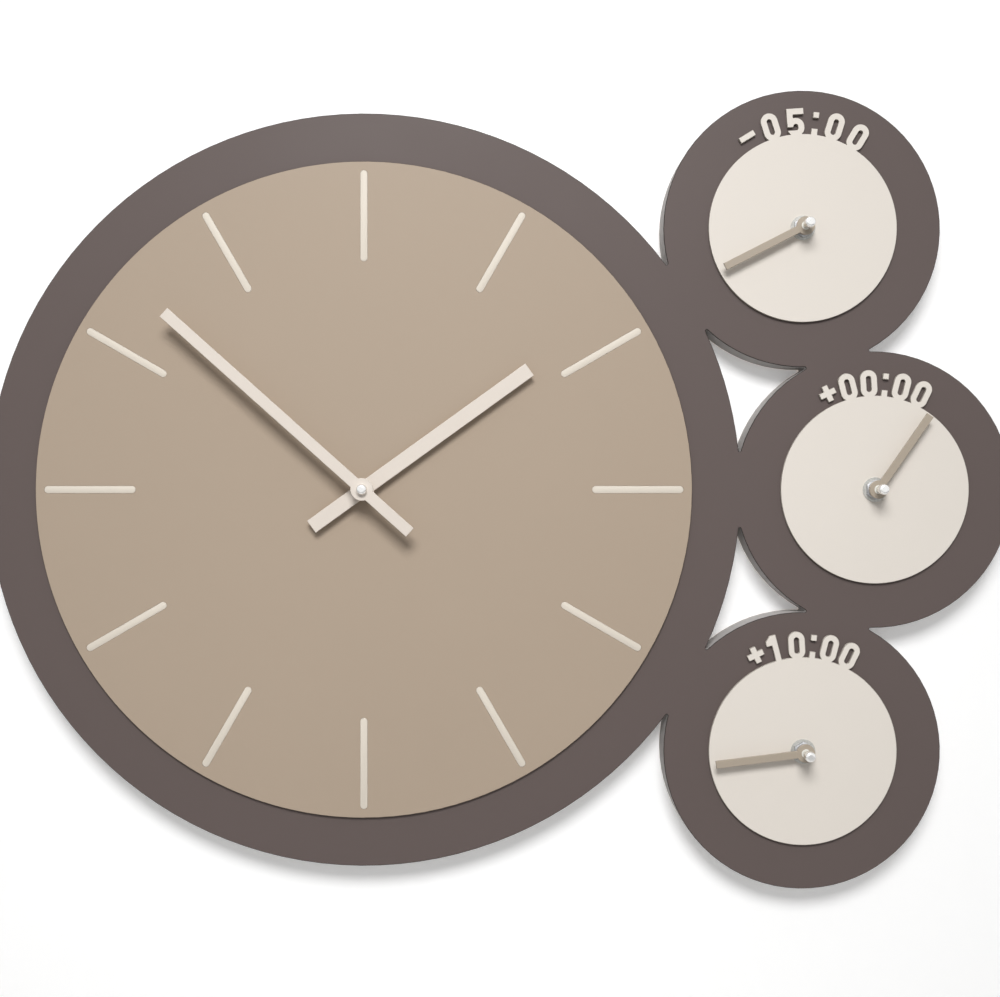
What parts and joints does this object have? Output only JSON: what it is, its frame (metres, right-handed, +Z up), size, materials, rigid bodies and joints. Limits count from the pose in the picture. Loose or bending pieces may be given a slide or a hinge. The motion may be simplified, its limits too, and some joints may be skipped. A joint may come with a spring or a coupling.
{
  "type": "world time wall clock",
  "caption": "Wall clock with a large index dial and three small zone dials on satellite discs of one lacquered base, driven by quartz movements.",
  "frame": {"origin": "main dial's axis where it meets the wall plane, which is the plane of the clock's back", "axes": "+X to the right as the dial is read, +Y into the wall, +Z up; hands turn clockwise about +Y"},
  "size_m": [0.5849, 0.0333, 0.456],
  "materials": {
    "brown_lacquer": "satin lacquer on fibreboard",
    "brown_edge": "satin lacquer on fibreboard",
    "sand_lacquer": "satin lacquer on fibreboard",
    "cream_lacquer": "satin lacquer on fibreboard",
    "cream_inlay": "flush inlay",
    "cream_hand": "satin paint",
    "tan_hand": "satin paint",
    "chrome_cap": "polished nickel plate",
    "zinc_steel": "zinc plate",
    "zinc_washer": "zinc plate",
    "nickel_brass": "nickel plate",
    "contact_steel": "nickel plate",
    "white_plastic": "moulded",
    "white_gear": "moulded",
    "black_plastic": "moulded, fine grain",
    "knob_plastic": "moulded",
    "black_rubber": "matt",
    "cell_jacket": "printed film",
    "rotor_magnet": "sintered",
    "stator_iron": "rolled",
    "copper_wire": "enamelled wire",
    "board_green": "solder mask"
  },
  "bodies": {
    "base": {"front_panel": "brown_lacquer", "back_board": "brown_edge", "main_dial": "sand_lacquer", "index_bars": "cream_inlay", "raised_marks": "cream_lacquer", "hanger_plates": "zinc_steel", "hanger_screws": "zinc_steel", "rubber_gaskets": "black_rubber", "clamp_washers": "zinc_washer", "clamp_nuts": "nickel_brass", "threaded_bushings": "white_plastic", "rear_covers": "black_plastic", "battery_contacts": "contact_steel", "centre_wheels": "white_gear", "third_wheels": "white_gear", "seconds_wheels": "white_gear", "fifth_wheels": "white_gear", "step_rotors": "rotor_magnet", "stators": "stator_iron", "coil_cores": "stator_iron", "coil_bobbins": "black_plastic", "coil_windings": "copper_wire", "circuit_boards": "board_green", "main_movement_case": "black_plastic", "main_battery_cell": "cell_jacket", "upper_zone_dial": "cream_lacquer", "upper_movement_case": "black_plastic", "upper_battery_cell": "cell_jacket", "middle_zone_dial": "cream_lacquer", "middle_movement_case": "black_plastic", "middle_battery_cell": "cell_jacket", "lower_zone_dial": "cream_lacquer", "lower_movement_case": "black_plastic", "lower_battery_cell": "cell_jacket"},
    "main_minute": {"main_minute_arbor": "nickel_brass", "main_cap": "chrome_cap", "main_minute_hand": "cream_hand"},
    "main_hour": {"main_hour_wheel": "white_gear", "main_hour_hand": "cream_hand"},
    "main_motion": {"main_motion_wheel": "white_gear"},
    "main_knob": {"main_set_knob": "knob_plastic"},
    "upper_minute": {"upper_minute_arbor": "nickel_brass", "upper_cap": "chrome_cap"},
    "upper_hour": {"upper_hour_wheel": "white_gear", "upper_hour_hand": "tan_hand"},
    "upper_motion": {"upper_motion_wheel": "white_gear"},
    "upper_knob": {"upper_set_knob": "knob_plastic"},
    "middle_minute": {"middle_minute_arbor": "nickel_brass", "middle_cap": "chrome_cap"},
    "middle_hour": {"middle_hour_wheel": "white_gear", "middle_hour_hand": "tan_hand"},
    "middle_motion": {"middle_motion_wheel": "white_gear"},
    "middle_knob": {"middle_set_knob": "knob_plastic"},
    "lower_minute": {"lower_minute_arbor": "nickel_brass", "lower_cap": "chrome_cap"},
    "lower_hour": {"lower_hour_wheel": "white_gear", "lower_hour_hand": "tan_hand"},
    "lower_motion": {"lower_motion_wheel": "white_gear"},
    "lower_knob": {"lower_set_knob": "knob_plastic"}
  },
  "joints": [
    {"name": "main_minute_turn", "type": "hinge", "parent": "base", "child": "main_minute", "pos_m": [0, -0.02, 0], "axis": [0, 1, 0], "continuous": true},
    {"name": "main_hour_turn", "type": "hinge", "parent": "base", "child": "main_hour", "pos_m": [0, -0.02, 0], "axis": [0, 1, 0], "continuous": true},
    {"name": "main_motion_turn", "type": "hinge", "parent": "base", "child": "main_motion", "pos_m": [0.0072, -0.02, 0], "axis": [0, 1, 0], "continuous": true},
    {"name": "main_knob_turn", "type": "hinge", "parent": "base", "child": "main_knob", "pos_m": [0.0144, -0.02, 0], "axis": [0, 1, 0], "continuous": true},
    {"name": "upper_minute_turn", "type": "hinge", "parent": "base", "child": "upper_minute", "pos_m": [0.24996, -0.02, 0.149], "axis": [0, 1, 0], "continuous": true},
    {"name": "upper_hour_turn", "type": "hinge", "parent": "base", "child": "upper_hour", "pos_m": [0.24996, -0.02, 0.149], "axis": [0, 1, 0], "continuous": true},
    {"name": "upper_motion_turn", "type": "hinge", "parent": "base", "child": "upper_motion", "pos_m": [0.25716, -0.02, 0.149], "axis": [0, 1, 0], "continuous": true},
    {"name": "upper_knob_turn", "type": "hinge", "parent": "base", "child": "upper_knob", "pos_m": [0.26436, -0.02, 0.149], "axis": [0, 1, 0], "continuous": true},
    {"name": "middle_minute_turn", "type": "hinge", "parent": "base", "child": "middle_minute", "pos_m": [0.291, -0.02, 0], "axis": [0, 1, 0], "continuous": true},
    {"name": "middle_hour_turn", "type": "hinge", "parent": "base", "child": "middle_hour", "pos_m": [0.291, -0.02, 0], "axis": [0, 1, 0], "continuous": true},
    {"name": "middle_motion_turn", "type": "hinge", "parent": "base", "child": "middle_motion", "pos_m": [0.2982, -0.02, 0], "axis": [0, 1, 0], "continuous": true},
    {"name": "middle_knob_turn", "type": "hinge", "parent": "base", "child": "middle_knob", "pos_m": [0.3054, -0.02, 0], "axis": [0, 1, 0], "continuous": true},
    {"name": "lower_minute_turn", "type": "hinge", "parent": "base", "child": "lower_minute", "pos_m": [0.24996, -0.02, -0.149], "axis": [0, 1, 0], "continuous": true},
    {"name": "lower_hour_turn", "type": "hinge", "parent": "base", "child": "lower_hour", "pos_m": [0.24996, -0.02, -0.149], "axis": [0, 1, 0], "continuous": true},
    {"name": "lower_motion_turn", "type": "hinge", "parent": "base", "child": "lower_motion", "pos_m": [0.25716, -0.02, -0.149], "axis": [0, 1, 0], "continuous": true},
    {"name": "lower_knob_turn", "type": "hinge", "parent": "base", "child": "lower_knob", "pos_m": [0.26436, -0.02, -0.149], "axis": [0, 1, 0], "continuous": true}
  ],
  "couplings": [
    {"joint": "main_hour_turn", "follows": "main_minute_turn", "ratio": 0.083333},
    {"joint": "main_motion_turn", "follows": "main_minute_turn", "ratio": -0.33333},
    {"joint": "main_knob_turn", "follows": "main_minute_turn", "ratio": 1},
    {"joint": "upper_minute_turn", "follows": "upper_hour_turn", "ratio": 12},
    {"joint": "upper_motion_turn", "follows": "upper_hour_turn", "ratio": -4},
    {"joint": "upper_knob_turn", "follows": "upper_hour_turn", "ratio": 12},
    {"joint": "middle_minute_turn", "follows": "middle_hour_turn", "ratio": 12},
    {"joint": "middle_motion_turn", "follows": "middle_hour_turn", "ratio": -4},
    {"joint": "middle_knob_turn", "follows": "middle_hour_turn", "ratio": 12},
    {"joint": "lower_minute_turn", "follows": "lower_hour_turn", "ratio": 12},
    {"joint": "lower_motion_turn", "follows": "lower_hour_turn", "ratio": -4},
    {"joint": "lower_knob_turn", "follows": "lower_hour_turn", "ratio": 12}
  ]
}
